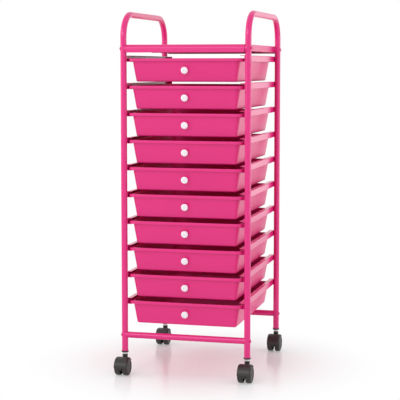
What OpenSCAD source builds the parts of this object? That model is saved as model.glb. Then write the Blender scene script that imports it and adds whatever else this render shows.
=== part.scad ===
// Rolling drawer cart.
// Two bent-tube side frames are joined by four cross rails. Ten moulded drawers hang by
// their rims in steel channel runners, a moulded tray clips over the upper rails, and
// four swivel casters with twin wheels carry the whole.
// Millimetres, +Z up, the drawer fronts face -Y. The origin lies on the floor under the
// middle of the cart's outline.

/* [Frame] */
// Outside diameter of every frame tube
tube_d = 16; // [15:0.5:18]
// Wall thickness of every frame tube
tube_wall = 1.2; // [1:0.1:1.6]
// Distance between left and right legs, axis to axis
leg_span_x = 324; // [310:1:350]
// Distance between front and back legs, axis to axis
leg_span_y = 374; // [350:1:400]
// Height of the lower rails' axis above the legs' lower ends
low_rail_rise = 42; // [38:1:60]
// Height of the hoops' top above the upper rails' axis
handle_rise = 95; // [90:1:130]
// Bend radius of the hoops, on the tube's axis
hoop_bend_r = 60; // [45:1:75]
// Gap between a rail's saddle-cut end and the leg it is bolted to
saddle_gap = 0.1; // [0.05:0.05:0.3]

/* [Frame bolts] */
// Thread diameter of the rail bolts
bolt_d = 6; // [5:0.5:6.5]
// Diameter of the rail bolts' button heads
bolt_head_d = 10.5; // [9:0.5:12]
// Height of the button heads
bolt_head_h = 2.2; // [1.8:0.1:3]
// Length of a rail bolt's shank
bolt_l = 32; // [28:1:40]
// Length of the threaded inserts in the rail ends
insert_l = 20; // [14:1:26]
// Clearance of a hole around its bolt, on the diameter
bolt_play = 0.5; // [0.2:0.1:0.8]

/* [Runners] */
// Height of a runner channel
runner_h = 16; // [14:0.5:18]
// Width of a runner channel
runner_w = 12; // [10.5:0.5:12.5]
// Sheet thickness of the runner channels
runner_t = 1.2; // [1:0.1:1.5]
// Outer bend radius of the runner channels
runner_bend_r = 2; // [1.6:0.1:2.5]
// Distance of the runners' front ends behind the front of the legs
runner_setback = 5; // [3:0.5:8]

/* [Drawer] */
// Overall height of a drawer
drawer_h = 59; // [52:0.5:62]
// Gap between one drawer and the next
drawer_gap = 10; // [9:0.5:20]
// Gap between the lower rails and the lowest drawer
floor_gap = 23.5; // [10:0.5:40]
// Gap between the topmost drawer's rim and the tray above it
tray_gap = 14.5; // [9:0.5:25]
// Length of the drawer rim, front to back
rim_l = 388; // [380:1:389]
// Distance of the rim's front edge ahead of the front of the legs
rim_proud = 0.5; // [0:0.5:3]
// Clearance between the rim and a runner's web, each side
rim_side_play = 1.8; // [1:0.1:2.5]
// Clearance under the rim's turned-down lip
rim_lift = 0.3; // [0.2:0.05:0.5]
// Height of the turned-down lip
lip_h = 7.5; // [6:0.5:9]
// Thickness of the lip and of the flange
lip_t = 2; // [1.5:0.1:2.5]
// Corner radius of the rim, seen from above
rim_corner_r = 20; // [16:1:24]
// Width of the side flanges, from the tub to the rim's edge
side_flange = 9; // [8.5:0.5:11]
// Width of the front and back flanges
end_flange = 4.5; // [3.5:0.5:8]
// Draft of the tub's walls, in degrees
tub_draft = 10.5; // [6:0.5:12]
// Wall and floor thickness of the tub
tub_wall = 2; // [1.6:0.1:2.5]
// Radius of the tub's upright corners, at the floor
tub_floor_corner_r = 5.5; // [5.5:0.5:8]
// Outer radius where the tub's walls meet its floor
tub_floor_r = 4; // [3:0.5:5]

/* [Knob] */
// Diameter of a knob
knob_d = 18; // [15:0.5:22]
// Height of a knob off the drawer's face
knob_h = 13; // [10:0.5:16]
// Diameter of a knob's foot
knob_foot_d = 12; // [10:0.5:14]
// Diameter of the dimple in a knob's face
knob_dimple_d = 4.4; // [3:0.2:6]
// Height of a knob's centre above the drawer's underside
knob_z = 30.5; // [26:0.5:34]
// Diameter of a knob's screw
knob_screw_d = 4; // [3:0.5:5]
// Head diameter of a knob's screw
knob_screw_head_d = 8; // [7:0.5:9]
// Head height of a knob's screw
knob_screw_head_h = 2.4; // [2:0.1:3]
// Depth of the screw in the knob
knob_screw_grip = 8; // [6:0.5:9]

/* [Top tray] */
// Wall thickness of the tray
tray_wall = 1.8; // [1.5:0.1:2.2]
// Clearance between the tray's hooks and the upper rails
hook_play = 0.2; // [0.1:0.05:0.4]
// Distance the tray's hooks hang below the rails' axis
hook_drop = 10; // [8:0.5:11]
// Depth of the tray's recess
tray_recess = 14; // [8:1:16]
// Width of the tray's side rims
tray_side_rim = 10; // [7:0.5:14]
// Height of the tray's side skirts
tray_side_skirt = 16.5; // [14:0.5:19]
// Clearance between the tray and the legs, each side
tray_side_play = 0.4; // [0.2:0.1:0.8]
// Depth of the ribs under the tray
tray_rib_h = 3; // [2:0.5:4]
// Thickness of the ribs under the tray
tray_rib_t = 1.5; // [1:0.1:2]

/* [Casters] */
// Diameter of a caster wheel
wheel_d = 44; // [40:0.5:46]
// Width of a caster wheel
wheel_w = 14.5; // [12:0.5:16]
// Radius of a wheel's outer tread edge
wheel_edge_r = 4.4; // [3:0.2:5]
// Radius of a wheel's inner tread edge
wheel_inner_edge_r = 2.2; // [1:0.2:3]
// Distance from the swivel axis to the axle
caster_trail = 20; // [18:0.5:22]
// Thickness of the web between the wheels
web_t = 6; // [5:0.5:8]
// Clearance between the web and each wheel
wheel_side_play = 0.5; // [0.3:0.1:0.8]
// Clearance between the wheels and the hood above them
hood_play = 1; // [0.8:0.1:1.5]
// Thickness of the hood
hood_t = 2; // [1.6:0.1:2.5]
// Distance the hood stands past the wheels, each side
hood_proud = 0.5; // [0.3:0.1:1]
// Rounding of the hood's shoulders
hood_edge_r = 5; // [3:0.5:6]
// Sweep of the hood, from the front over the top, in degrees
hood_sweep = 140; // [130:1:165]
// Outside diameter of the swivel collar
collar_d = 13.6; // [13:0.1:15]
// Height of the swivel collar above the hood
collar_rise = 4.7; // [3:0.1:8]
// Depth of the swivel stem's end below the top of the hood
stem_dip = 6.5; // [5:0.5:7]
// Diameter of the swivel stem
stem_d = 8; // [7:0.5:8.5]
// Radial clearance of the swivel stem in the housing
stem_play = 0.08; // [0.05:0.01:0.1]
// Diameter of the axle
axle_d = 5; // [4:0.5:6]
// Radial clearance of a wheel on the axle
axle_play = 0.06; // [0.03:0.01:0.1]
// Thickness of the stem's steel shoulder
shoulder_t = 4; // [3:0.5:5]
// Diameter of the stem's steel shoulder
shoulder_d = 12.6; // [11:0.2:13]
// Gap between the shoulder and the swivel collar
swivel_gap = 0.3; // [0.2:0.05:0.5]
// Thickness of the leg plug's flange
plug_flange_t = 4; // [3:0.5:6]
// Diameter of the leg plug's flange
plug_flange_d = 18.4; // [17:0.2:20]
// Length of the plug inside the leg
plug_l = 28; // [22:1:36]
// Radial clearance of plugs and inserts in the tubes
plug_play = 0.05; // [0.02:0.01:0.1]

/* [Hidden] */
drawer_count = 10;
corner_names = ["front_left", "front_right", "back_left", "back_right"];
function drawer_no(i) = i < 9 ? str("0", i + 1) : str(i + 1);
DRAWER_NODES = [for (i = [0 : drawer_count - 1]) str("drawer_", drawer_no(i))];
KNOB_NODES = [for (i = [0 : drawer_count - 1]) str("knob_", drawer_no(i))];
SCREW_NODES = [for (i = [0 : drawer_count - 1]) str("knob_screw_", drawer_no(i))];
HOUSING_NODES = [for (c = corner_names) str(c, "_caster_housing")];
AXLE_NODES = [for (c = corner_names) str(c, "_caster_axle")];
LEFT_WHEEL_NODES = [for (c = corner_names) str(c, "_caster_left_wheel")];
RIGHT_WHEEL_NODES = [for (c = corner_names) str(c, "_caster_right_wheel")];

round_fn = 64;
fillet_steps = 5;
past = 1;

// Casters
wheel_r = wheel_d / 2;
hood_inner_r = wheel_r + hood_play;
hood_r = hood_inner_r + hood_t;
wheel_inner_x = web_t / 2 + wheel_side_play;
hood_half_w = wheel_inner_x + wheel_w + hood_proud;
hood_top_z = wheel_r + hood_r;
collar_top_z = hood_top_z + collar_rise;
stem_bottom_z = hood_top_z - stem_dip;
shoulder_z = collar_top_z + swivel_gap;
leg_foot_z = shoulder_z + shoulder_t + plug_flange_t;
stem_grip = plug_l - 4;
hub_r = axle_d / 2 + 3.5;
axle_grip = wheel_w - 3;

// Plan. The outline's middle lies on the origin, so the legs stand a little off it.
reach_front = caster_trail + hood_r;
reach_back = tube_d / 2;
mid_y = (reach_front - reach_back) / 2;
front_y = mid_y - leg_span_y / 2;
back_y = mid_y + leg_span_y / 2;
leg_x = leg_span_x / 2;
inner_x = leg_x - tube_d / 2;
corners = [[-leg_x, front_y], [leg_x, front_y], [-leg_x, back_y], [leg_x, back_y]];

// Heights, from the legs' feet up
low_rail_z = leg_foot_z + low_rail_rise;
last_drawer_z = low_rail_z + tube_d / 2 + floor_gap;
drawer_pitch = drawer_h + drawer_gap;
first_drawer_z = last_drawer_z + (drawer_count - 1) * drawer_pitch;
first_runner_z = first_drawer_z + drawer_h - lip_h - rim_lift - runner_t;
top_rail_z = first_drawer_z + drawer_h + tray_gap + hook_drop;
hoop_axis_z = top_rail_z + handle_rise - tube_d / 2;
bolt_heights = [low_rail_z, top_rail_z];
tube_bore_d = tube_d - 2 * tube_wall;

// Drawers
rim_w = 2 * (inner_x - runner_t - rim_side_play);
rim_front_y = front_y - tube_d / 2 - rim_proud;
drawer_y = rim_front_y + rim_l / 2;
tub_w = rim_w - 2 * side_flange;
tub_l = rim_l - 2 * end_flange;
tub_corner_r = tub_floor_corner_r + drawer_h * tan(tub_draft);
hook_r = tube_d / 2 + hook_play + tray_wall;
runner_front_y = front_y - tube_d / 2 + runner_setback;
runner_stop_y = rim_front_y + rim_l + 0.5;

// ---------- shared shapes ----------

function arc_points(centre, r, from, to, steps) =
    [for (i = [0 : steps]) centre + r * [cos(from + (to - from) * i / steps),
                                         sin(from + (to - from) * i / steps)]];

module rod_x(d, length) {
    rotate([0, 90, 0])
        cylinder(d = d, h = length, center = true, $fn = round_fn);
}

// Rectangle whose two corners on the x = 0 side are rounded.
module soft_side_rect(w, h, r) {
    translate([r, 0])
        square([w - r, h]);
    translate([0, r])
        square([w, h - 2 * r]);
    for (y = [r, h - r])
        translate([r, y])
            circle(r = r, $fn = round_fn);
}

module rounded_rect(w, l, r) {
    square([w - 2 * r, l], center = true);
    square([w, l - 2 * r], center = true);
    for (x = [-1, 1], y = [-1, 1])
        translate([x * (w / 2 - r), y * (l / 2 - r)])
            circle(r = r, $fn = round_fn);
}

// Carries a (distance, height) profile round a rectangle with rounded corners. The
// distance counts outwards from the corners' centres.
module sweep_round(w, l, corner_r) {
    for (k = [0 : 3]) {
        across = (k % 2 == 0 ? w : l) / 2 - corner_r;
        along = (k % 2 == 0 ? l : w) / 2 - corner_r;
        rotate([0, 0, 90 * k]) {
            translate([across, 0, 0])
                rotate([90, 0, 0])
                    linear_extrude(height = 2 * along, center = true)
                        children();
            translate([across, along, 0])
                rotate_extrude(angle = 90, $fn = round_fn)
                    children();
        }
    }
}

// ---------- frame ----------

// Rod bent to the shape of a side frame. The legs' ends reach down by extra.
module hoop_rod(d, extra) {
    leg_top_z = hoop_axis_z - hoop_bend_r;
    straight = leg_span_y - 2 * hoop_bend_r;
    translate([0, mid_y, 0]) {
        for (y = [-leg_span_y / 2, leg_span_y / 2])
            translate([0, y, leg_foot_z - extra])
                cylinder(d = d, h = leg_top_z - leg_foot_z + extra, $fn = round_fn);
        for (flip = [0, 1])
            mirror([0, flip, 0])
                translate([0, straight / 2, leg_top_z])
                    rotate([90, 0, 90])
                        rotate_extrude(angle = 90, $fn = round_fn)
                            translate([hoop_bend_r, 0])
                                circle(d = d, $fn = round_fn);
        translate([0, 0, hoop_axis_z])
            rotate([90, 0, 0])
                cylinder(d = d, h = straight, center = true, $fn = round_fn);
    }
}

module side_frame(x) {
    color("deeppink")
        translate([x, 0, 0])
            difference() {
                hoop_rod(tube_d, 0);
                hoop_rod(tube_bore_d, past);
                for (y = [front_y, back_y], z = bolt_heights)
                    translate([0, y, z])
                        rod_x(bolt_d + bolt_play, tube_d + 2 * past);
            }
}

module left_side_frame() {
    side_frame(-leg_x);
}

module right_side_frame() {
    side_frame(leg_x);
}

// Cross rail between a left and a right leg, its ends cut to saddle the legs.
module cross_rail(y, z) {
    color("deeppink")
        difference() {
            translate([0, y, z])
                rod_x(tube_d, leg_span_x);
            translate([0, y, z])
                rod_x(tube_bore_d, leg_span_x + 2 * past);
            for (x = [-leg_x, leg_x])
                translate([x, y, z])
                    cylinder(d = tube_d + 2 * saddle_gap, h = 2 * tube_d, center = true,
                             $fn = round_fn);
        }
}

// Threaded inserts, one in each rail end.
module rail_inserts() {
    color("dimgray")
        for (side = [-1, 1], y = [front_y, back_y], z = bolt_heights)
            translate([side * (inner_x - insert_l / 2 - 2 * saddle_gap), y, z])
                difference() {
                    rod_x(tube_bore_d - 2 * plug_play, insert_l);
                    rod_x(bolt_d, insert_l + 2 * past);
                }
}

// Button-head bolt along +Z, its head's underside at the origin.
module button_bolt() {
    dome_steps = 6;
    dome_r = (pow(bolt_head_d / 2, 2) + pow(bolt_head_h, 2)) / (2 * bolt_head_h);
    dome_angle = asin(bolt_head_d / 2 / dome_r);
    socket_d = bolt_d * 0.75;
    difference() {
        union() {
            rotate_extrude($fn = round_fn)
                polygon(concat([[0, 0]],
                    arc_points([0, bolt_head_h - dome_r], dome_r, 90 - dome_angle, 90,
                               dome_steps)));
            translate([0, 0, -bolt_l])
                cylinder(d = bolt_d, h = bolt_l, $fn = round_fn);
        }
        translate([0, 0, bolt_head_h / 3])
            cylinder(d = socket_d, h = bolt_head_h, $fn = 6);
    }
}

module frame_bolts() {
    color("deeppink")
        for (side = [-1, 1], y = [front_y, back_y], z = bolt_heights)
            translate([side * (leg_x + tube_d / 2), y, z])
                rotate([0, side * 90, 0])
                    button_bolt();
}

// ---------- runners ----------

// Channel open towards the drawers, with its back end folded in as a stop.
module runner() {
    length = runner_stop_y + runner_t - runner_front_y;
    translate([0, runner_front_y + length, 0])
        rotate([90, 0, 0])
            difference() {
                linear_extrude(height = length)
                    soft_side_rect(runner_w, runner_h, runner_bend_r);
                translate([0, 0, runner_t])
                    linear_extrude(height = length)
                        translate([runner_t, runner_t])
                            square([runner_w, runner_h - 2 * runner_t]);
            }
}

module runner_set() {
    for (i = [0 : drawer_count - 1])
        translate([-inner_x, 0, first_runner_z - i * drawer_pitch])
            runner();
}

module left_runners() {
    color("deeppink")
        runner_set();
}

module right_runners() {
    color("deeppink")
        mirror([1, 0, 0])
            runner_set();
}

// ---------- top tray ----------

// Room for an upper rail: its bore, open downwards.
module rail_room_section(depth) {
    bore_r = tube_d / 2 + hook_play;
    circle(r = bore_r, $fn = round_fn);
    translate([-bore_r, -depth])
        square([2 * bore_r, depth]);
}

// Section of the hook over an upper rail, its inner skirt on the +x side.
module hook_section(inner_drop) {
    intersection() {
        difference() {
            union() {
                circle(r = hook_r, $fn = round_fn);
                translate([-hook_r, -hook_drop])
                    square([2 * hook_r, hook_drop]);
            }
            rail_room_section(hook_drop + past);
        }
        union() {
            translate([-hook_r, -hook_drop])
                square([hook_r, hook_drop + hook_r]);
            translate([0, -inner_drop])
                square([hook_r, inner_drop + hook_r]);
        }
    }
}

module side_rim_section() {
    difference() {
        translate([0, -tray_side_skirt])
            square([tray_side_rim, tray_side_skirt]);
        translate([tray_wall, -tray_side_skirt - past])
            square([tray_side_rim - 2 * tray_wall, tray_side_skirt - tray_wall + past]);
    }
}

// Carries a section that is drawn round an upper rail's axis along the front or back rail.
module along_rail(length, flip) {
    translate([0, mid_y, top_rail_z])
        mirror([0, flip, 0])
            translate([0, -leg_span_y / 2, 0])
                rotate([90, 0, 90])
                    linear_extrude(height = length, center = true)
                        children();
}

module top_tray() {
    tray_w = 2 * (inner_x - tray_side_play);
    tray_top_z = top_rail_z + hook_r;
    floor_z = tray_top_z - tray_recess - tray_wall;
    inner_drop = top_rail_z - floor_z;
    well_l = leg_span_y - 2 * hook_r;
    rib_step = well_l / 4;
    color("deeppink") {
        for (flip = [0, 1])
            along_rail(tray_w, flip)
                hook_section(inner_drop);
        difference() {
            for (flip = [0, 1])
                mirror([flip, 0, 0])
                    translate([-tray_w / 2, mid_y, tray_top_z])
                        rotate([90, 0, 0])
                            linear_extrude(height = leg_span_y, center = true)
                                side_rim_section();
            for (flip = [0, 1])
                along_rail(tray_w + 2 * past, flip)
                    rail_room_section(tray_side_skirt);
        }
        translate([0, mid_y, floor_z + tray_wall / 2])
            cube([tray_w - 2 * tray_side_rim + tray_wall, well_l + tray_wall, tray_wall],
                 center = true);
        for (k = [-1 : 1])
            translate([0, mid_y + k * rib_step, floor_z - tray_rib_h / 2])
                cube([tray_w - 2 * tray_side_rim, tray_rib_t, tray_rib_h], center = true);
    }
}

// ---------- drawers ----------

// Half section of the tub: floor, rounded edge and drafted wall. The distance counts
// from the centre of the upright corner, the height from the tub's underside.
module tub_section() {
    lean = tan(tub_draft);
    inner_floor_r = tub_floor_r - tub_wall / 2;
    outer_centre = [tub_corner_r - tub_floor_r * cos(tub_draft)
        - (drawer_h - tub_floor_r + tub_floor_r * sin(tub_draft)) * lean, tub_floor_r];
    inner_rim_r = tub_corner_r - tub_wall / cos(tub_draft);
    inner_centre = [inner_rim_r - inner_floor_r * cos(tub_draft)
        - (drawer_h - tub_wall - inner_floor_r + inner_floor_r * sin(tub_draft)) * lean,
        tub_wall + inner_floor_r];
    polygon(concat(
        [[0, 0]],
        arc_points(outer_centre, tub_floor_r, -90, -tub_draft, fillet_steps),
        [[tub_corner_r, drawer_h], [inner_rim_r, drawer_h]],
        arc_points(inner_centre, inner_floor_r, -tub_draft, -90, fillet_steps),
        [[0, tub_wall]]));
}

// Section of the rim's outer strip: flange edge, rounded shoulder, turned-down lip.
module rim_section() {
    shoulder_r = lip_t;
    strip = 2 * lip_t;
    polygon(concat(
        [[rim_corner_r - strip, drawer_h], [rim_corner_r - strip, drawer_h - lip_t],
         [rim_corner_r - lip_t, drawer_h - lip_t],
         [rim_corner_r - lip_t, drawer_h - lip_h], [rim_corner_r, drawer_h - lip_h]],
        arc_points([rim_corner_r - shoulder_r, drawer_h - shoulder_r], shoulder_r, 0, 90,
                   fillet_steps)));
}

module flange_plate() {
    overlap = lip_t * 1.5;
    translate([0, 0, drawer_h - lip_t])
        linear_extrude(height = lip_t)
            difference() {
                rounded_rect(rim_w - 2 * overlap, rim_l - 2 * overlap,
                             rim_corner_r - overlap);
                rounded_rect(tub_w - tub_wall, tub_l - tub_wall,
                             tub_corner_r - tub_wall / 2);
            }
}

// Brings what is drawn along +Z to the middle of a drawer's leaning front face.
module on_front_face() {
    translate([0, -tub_l / 2 + (drawer_h - knob_z) * tan(tub_draft), knob_z])
        rotate([90 + tub_draft, 0, 0])
            children();
}

module drawer_body() {
    difference() {
        union() {
            sweep_round(tub_w, tub_l, tub_corner_r)
                tub_section();
            sweep_round(rim_w, rim_l, rim_corner_r)
                rim_section();
            flange_plate();
            translate([0, 0, tub_wall / 2])
                cube([tub_w - 2 * tub_corner_r, tub_l - 2 * tub_corner_r, tub_wall],
                     center = true);
        }
        on_front_face()
            cylinder(d = knob_screw_d, h = 4 * tub_wall, center = true, $fn = round_fn);
    }
}

module knob_body() {
    face_r = knob_d / 2;
    foot_r = knob_foot_d / 2;
    neck_r = foot_r - 1.5;
    edge_r = 2.5;
    face_z = knob_h - 1;
    dimple_r = knob_dimple_d / 2;
    difference() {
        rotate_extrude($fn = round_fn)
            polygon(concat(
                [[0, 0], [foot_r, 0], [foot_r, 1], [neck_r, 2.5], [neck_r, knob_h * 0.4]],
                arc_points([face_r - edge_r, face_z - edge_r], edge_r, -40, 70,
                           fillet_steps),
                [[dimple_r, knob_h], [dimple_r * 0.6, knob_h - 0.8], [0, knob_h - 1]]));
        translate([0, 0, -past])
            cylinder(d = knob_screw_d, h = knob_screw_grip + past + 0.5, $fn = round_fn);
    }
}

module screw_body() {
    slot_w = 1;
    slot_depth = knob_screw_head_h / 2;
    difference() {
        union() {
            translate([0, 0, -tub_wall - knob_screw_head_h])
                cylinder(d = knob_screw_head_d, h = knob_screw_head_h, $fn = round_fn);
            translate([0, 0, -tub_wall])
                cylinder(d = knob_screw_d, h = tub_wall + knob_screw_grip,
                         $fn = round_fn);
        }
        for (turn = [0, 90])
            translate([0, 0, -tub_wall - knob_screw_head_h])
                rotate([0, 0, turn])
                    cube([knob_screw_head_d * 0.6, slot_w, 2 * slot_depth],
                         center = true);
    }
}

// Brings a drawer's piece to its place. Drawers are counted from the top.
module at_drawer(i) {
    translate([0, drawer_y, first_drawer_z - i * drawer_pitch])
        children();
}

module drawer(i) {
    color("deeppink")
        at_drawer(i)
            drawer_body();
}

module knob(i) {
    color("white")
        at_drawer(i)
            on_front_face()
                knob_body();
}

module knob_screw(i) {
    color("silver")
        at_drawer(i)
            on_front_face()
                screw_body();
}

// ---------- casters ----------

// Plugs in the legs' lower ends, which hold the caster stems.
module leg_plugs() {
    edge_r = 1.5;
    color("black")
        for (c = corners)
            translate([c[0], c[1], leg_foot_z])
                rotate_extrude($fn = round_fn)
                    polygon(concat(
                        [[stem_d / 2, plug_l], [stem_d / 2, -plug_flange_t]],
                        arc_points([plug_flange_d / 2 - edge_r, edge_r - plug_flange_t],
                                   edge_r, -90, 0, fillet_steps),
                        [[plug_flange_d / 2, 0], [tube_bore_d / 2 - plug_play, 0],
                         [tube_bore_d / 2 - plug_play, plug_l]]));
}

// Swivel stems with their steel shoulders.
module caster_stems() {
    color("silver")
        for (c = corners)
            translate([c[0], c[1], 0]) {
                translate([0, 0, stem_bottom_z])
                    cylinder(d = stem_d, h = leg_foot_z + stem_grip - stem_bottom_z,
                             $fn = round_fn);
                translate([0, 0, shoulder_z])
                    cylinder(d = shoulder_d, h = shoulder_t, $fn = round_fn);
            }
}

// Section of the hood across the wheels: distance from the axle, place along it. Its
// rounded shoulders run out where they meet its inner side.
module hood_section() {
    end = acos((hood_edge_r - hood_t) / hood_edge_r);
    centre = [hood_r - hood_edge_r, hood_half_w - hood_edge_r];
    polygon(concat(
        arc_points([centre[0], -centre[1]], hood_edge_r, -end, 0, fillet_steps),
        arc_points(centre, hood_edge_r, 0, end, fillet_steps)));
}

// Brings what is drawn round the Z axis to the axle, with +X turned to the front.
module at_axle() {
    translate([0, -caster_trail, wheel_r])
        rotate([90, 0, -90])
            children();
}

module caster_housing_body() {
    clear_r = wheel_r + hood_play / 2;
    collar_bottom_z = wheel_r + 8;
    web_cut = hood_r + past;
    difference() {
        union() {
            at_axle() {
                rotate_extrude(angle = hood_sweep, $fn = round_fn)
                    hood_section();
                difference() {
                    cylinder(r = hood_inner_r + hood_t / 2, h = web_t, center = true,
                             $fn = round_fn);
                    translate([-web_cut, -hub_r - web_cut, -web_t])
                        cube([2 * web_cut, web_cut, 2 * web_t]);
                }
            }
            translate([0, 0, collar_bottom_z])
                cylinder(d = collar_d, h = collar_top_z - collar_bottom_z,
                         $fn = round_fn);
        }
        for (side = [-1, 1])
            translate([side * (web_t / 2 + hood_half_w / 2), -caster_trail, wheel_r])
                rod_x(2 * clear_r, hood_half_w);
        translate([0, -caster_trail, wheel_r])
            rod_x(axle_d, 2 * web_t);
        translate([0, 0, stem_bottom_z - swivel_gap])
            cylinder(d = stem_d + 2 * stem_play, h = collar_top_z, $fn = round_fn);
    }
}

module caster_axle_body() {
    translate([0, -caster_trail, wheel_r])
        rod_x(axle_d, 2 * (wheel_inner_x + axle_grip - 0.5));
}

// One wheel on the +X side of the web.
module caster_wheel_body() {
    bore_r = axle_d / 2 + axle_play;
    dish = 1.4;
    inner_recess = wheel_w * 0.4;
    rim_inner_r = wheel_r - 3.5;
    cap_r = wheel_r - wheel_edge_r - 1.2;
    translate([wheel_inner_x, -caster_trail, wheel_r])
        rotate([0, 90, 0])
            rotate_extrude($fn = round_fn)
                polygon(concat(
                    [[bore_r, 0], [hub_r, 0], [hub_r, inner_recess],
                     [rim_inner_r, inner_recess], [rim_inner_r, 0]],
                    arc_points([wheel_r - wheel_inner_edge_r, wheel_inner_edge_r],
                               wheel_inner_edge_r, -90, 0, fillet_steps),
                    arc_points([wheel_r - wheel_edge_r, wheel_w - wheel_edge_r],
                               wheel_edge_r, 0, 90, fillet_steps),
                    [[cap_r, wheel_w], [cap_r - dish, wheel_w - dish],
                     [hub_r + 1, wheel_w - dish], [hub_r, wheel_w - dish / 2],
                     [0, wheel_w - dish / 2], [0, axle_grip], [bore_r, axle_grip]]));
}

module at_leg(k) {
    translate([corners[k][0], corners[k][1], 0])
        children();
}

module caster_housing(k) {
    color("darkslategray")
        at_leg(k)
            caster_housing_body();
}

module caster_axle(k) {
    color("silver")
        at_leg(k)
            caster_axle_body();
}

module caster_wheel(k, flip) {
    color("dimgray")
        at_leg(k)
            mirror([flip, 0, 0])
                caster_wheel_body();
}

// ---------- the cart ----------

left_side_frame();
right_side_frame();
left_runners();
right_runners();
cross_rail(front_y, top_rail_z);  // top_front_rail
cross_rail(back_y, top_rail_z);  // top_back_rail
cross_rail(front_y, low_rail_z);  // low_front_rail
cross_rail(back_y, low_rail_z);  // low_back_rail
rail_inserts();
frame_bolts();
top_tray();
leg_plugs();
caster_stems();
for (i = [0 : drawer_count - 1]) {
    drawer(i);
    knob(i);
    knob_screw(i);
}
for (k = [0 : len(corners) - 1]) {
    caster_housing(k);
    caster_axle(k);
    caster_wheel(k, 1);
    caster_wheel(k, 0);
}
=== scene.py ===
"""Looks of the rolling drawer cart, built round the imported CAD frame.

Every shape is made in millimetres with bmesh operators, in the CAD's own frame, and turned
into metres when its object is made.
"""

from __future__ import annotations

import logging
import math
from collections.abc import Callable, Iterable, Sequence
from dataclasses import dataclass, field
from enum import Enum
from typing import ClassVar, Protocol

import bmesh
import bpy
from bmesh.types import BMEdge, BMFace, BMVert
from mathutils import Matrix, Vector


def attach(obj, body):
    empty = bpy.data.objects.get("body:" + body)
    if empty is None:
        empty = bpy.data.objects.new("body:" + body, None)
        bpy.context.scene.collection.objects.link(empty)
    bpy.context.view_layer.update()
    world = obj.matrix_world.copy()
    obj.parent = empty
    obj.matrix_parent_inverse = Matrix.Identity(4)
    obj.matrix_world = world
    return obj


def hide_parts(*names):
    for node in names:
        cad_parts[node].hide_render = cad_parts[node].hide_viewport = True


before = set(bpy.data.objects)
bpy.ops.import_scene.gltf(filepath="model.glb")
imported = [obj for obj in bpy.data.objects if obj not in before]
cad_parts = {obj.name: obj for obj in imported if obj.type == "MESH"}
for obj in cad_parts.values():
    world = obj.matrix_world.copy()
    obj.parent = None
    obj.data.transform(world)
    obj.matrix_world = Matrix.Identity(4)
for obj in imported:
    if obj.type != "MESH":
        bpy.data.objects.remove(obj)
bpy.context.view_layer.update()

log = logging.getLogger("cart")
MM = 0.001  # metres in a millimetre
TOUCH = 0.02  # millimetres within which a point lies on a plane or a ring
MERGE = 0.001  # millimetres within which doubled points become one
MATT = "matt_inside"  # the face attribute that makes the inside of a drawer matt
Point = Sequence[float]
Colour = tuple[float, float, float]


class Side(Enum):
    """The left or right half of the cart, seen from the front."""

    LEFT = -1
    RIGHT = 1

    @property
    def word(self) -> str:
        """The side's name inside a piece's name."""
        return self.name.lower()


class Corner(Enum):
    """One of the four legs: its side and whether it is a back leg."""

    FRONT_LEFT = (Side.LEFT, False)
    FRONT_RIGHT = (Side.RIGHT, False)
    BACK_LEFT = (Side.LEFT, True)
    BACK_RIGHT = (Side.RIGHT, True)

    @property
    def word(self) -> str:
        """The corner's name inside a piece's name."""
        return self.name.lower()


# ---------------------------------------------------------------- finishes


class NodeDesk:
    """Adds and joins the shader nodes of one material, or of the world."""

    def __init__(self, owner: bpy.types.Material | bpy.types.World) -> None:
        """Clears the nodes.

        Args:
            owner: the material or world whose nodes they are.
        """
        owner.use_nodes = True
        self.owner = owner
        self.tree = owner.node_tree
        self.tree.nodes.clear()

    def add(self, kind: str, **values: object) -> bpy.types.Node:
        """Adds a node.

        Args:
            kind: the node's type, without its ShaderNode prefix.
            **values: attributes of the node, or inputs named with underscores for spaces.

        Returns:
            The new node.
        """
        node = self.tree.nodes.new("ShaderNode" + kind)
        for key, value in values.items():
            if hasattr(node, key):
                setattr(node, key, value)
            else:
                node.inputs[key.replace("_", " ")].default_value = value
        return node

    def link(self, source: bpy.types.NodeSocket, target: bpy.types.NodeSocket) -> None:
        """Joins an output to an input."""
        self.tree.links.new(source, target)

    def seen(self) -> bpy.types.NodeSocket:
        """Returns a value that is 1 for the rays that look, and 0 for those that light."""
        path = self.add("LightPath")
        value = path.outputs["Is Camera Ray"]
        for ray in ("Is Glossy Ray", "Is Transmission Ray"):
            either = self.add("Math", operation="MAXIMUM")
            self.link(value, either.inputs[0])
            self.link(path.outputs[ray], either.inputs[1])
            value = either.outputs["Value"]
        return value

    def shade(self, shader: bpy.types.Node,
              kind: str = "Material") -> bpy.types.Material | bpy.types.World:
        """Sends a shader to the surface and returns the material or world."""
        out = self.add("Output" + kind)
        self.link(shader.outputs[0], out.inputs["Surface"])
        return self.owner


SLOW_NOISE = {"Scale": 9.0, "Detail": 3.0, "Roughness": 0.55}
GRAIN_NOISE = {"Detail": 2.0, "Roughness": 0.5}
RIPPLE_NOISE = {"Detail": 1.0, "Roughness": 0.4}


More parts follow.
